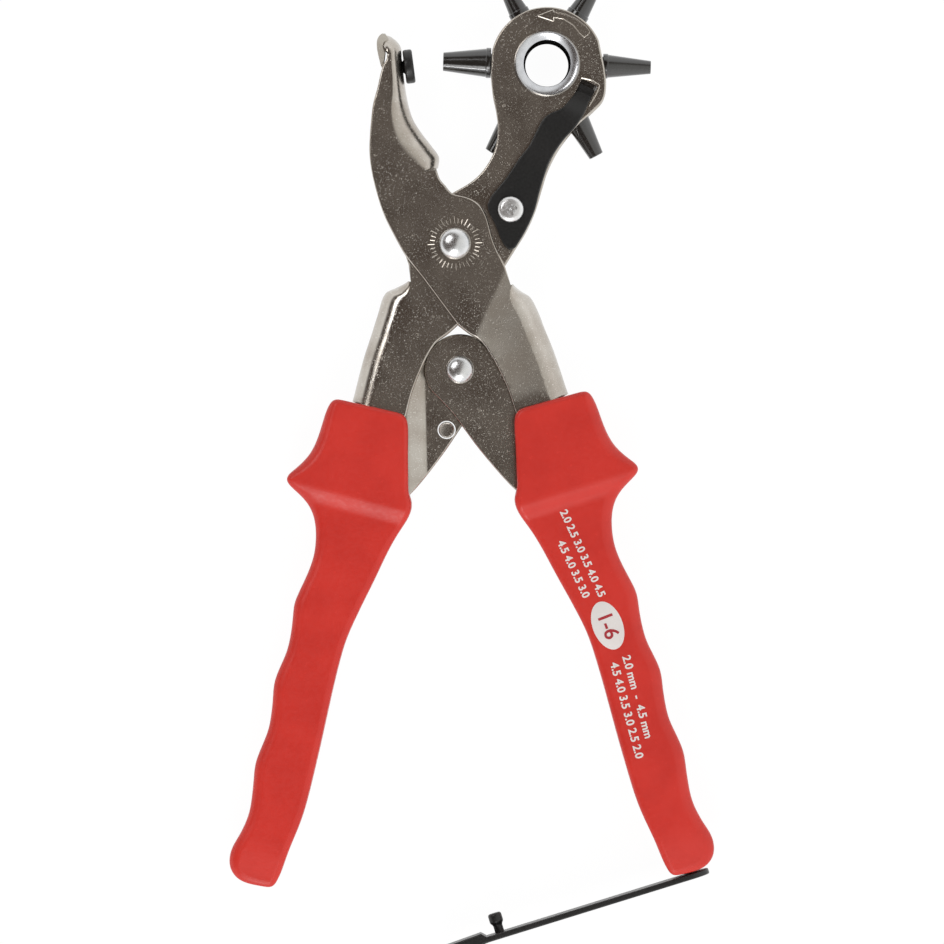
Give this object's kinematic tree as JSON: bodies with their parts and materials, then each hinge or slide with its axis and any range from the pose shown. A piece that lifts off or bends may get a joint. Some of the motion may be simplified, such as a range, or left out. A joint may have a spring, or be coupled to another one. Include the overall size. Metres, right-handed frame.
{
  "type": "revolving punch pliers",
  "caption": "Hand pliers with compound leverage that punch round holes in leather: a turret of hollow punches on one jaw closes on a flat anvil on the other, with cushioned handles.",
  "frame": {"origin": "on the main pivot's axis, in the plane that the tool rests on when it lies on its back", "axes": "+X to the turret's side, +Y towards the jaws, +Z out of the tool's front face"},
  "size_m": [0.1337, 0.2739, 0.0208],
  "materials": {
    "nickel": "nickel-plated pressed steel, satin with fine specks and scratches",
    "zinc": "bright zinc plate",
    "black_steel": "glossy blackened steel",
    "spring_steel": "drawn spring wire",
    "red_plastic": "moulded, fine satin grain",
    "black_plastic": "moulded, satin"
  },
  "bodies": {
    "anvil_jaw": {"anvil_lever": "nickel", "anvil_pad": "black_plastic", "main_pivot_rivet": "zinc", "main_pivot_bush": "zinc", "right_link_pin": "zinc", "return_spring": "spring_steel"},
    "turret_jaw": {"turret_lever": "nickel", "turret_axle": "zinc", "index_screw": "zinc", "index_nut": "zinc", "left_link_pin": "zinc"},
    "turret": {"turret_wheel": "black_steel", "punch_tube_45": "black_steel", "punch_tube_40": "black_steel", "punch_tube_35": "black_steel", "punch_tube_30": "black_steel", "punch_tube_25": "black_steel", "punch_tube_20": "black_steel"},
    "index_arm": {"index_arm": "black_plastic"},
    "right_handle": {"right_handle_lever": "nickel", "right_grip": "red_plastic", "handle_pivot_rivet": "zinc"},
    "left_handle": {"left_handle_lever": "nickel", "left_grip": "red_plastic", "spacer_pin": "zinc"},
    "latch_strap": {"latch_strap": "black_plastic"}
  },
  "joints": [
    {"name": "jaw_pivot", "type": "hinge", "parent": "anvil_jaw", "child": "turret_jaw", "pos_m": [0, 0, 0.0094], "axis": [0, 0, 1], "range_deg": [0, 9], "stiffness_Nm_per_rad": 0.8, "deforming": ["return_spring", "latch_strap"]},
    {"name": "turret_spin", "type": "hinge", "parent": "turret_jaw", "child": "turret", "pos_m": [0.02714, 0.04876, 0.0094], "axis": [0, 0, 1], "continuous": true},
    {"name": "arm_lift", "type": "hinge", "parent": "turret_jaw", "child": "index_arm", "pos_m": [0.01565, 0.0088, 0.0158], "axis": [0.8738, -0.4863, 0], "range_deg": [0, 1.5], "stiffness_Nm_per_rad": 0.05},
    {"name": "right_handle_pivot", "type": "hinge", "parent": "anvil_jaw", "child": "right_handle", "pos_m": [0.025, -0.05, 0.0094], "axis": [0, 0, -1], "range_deg": [0, 8.5]},
    {"name": "left_handle_pivot", "type": "hinge", "parent": "turret_jaw", "child": "left_handle", "pos_m": [-0.025, -0.05, 0.0094], "axis": [0, 0, 1], "range_deg": [0, 8.5]},
    {"name": "strap_swivel", "type": "hinge", "parent": "right_handle", "child": "latch_strap", "pos_m": [0.05922, -0.17594, 0.0094], "axis": [0.2622, -0.965, 0], "range_deg": [-180, 180]}
  ],
  "couplings": [
    {"joint": "right_handle_pivot", "follows": "jaw_pivot", "ratio": 0.94},
    {"joint": "left_handle_pivot", "follows": "jaw_pivot", "ratio": 0.94}
  ]
}
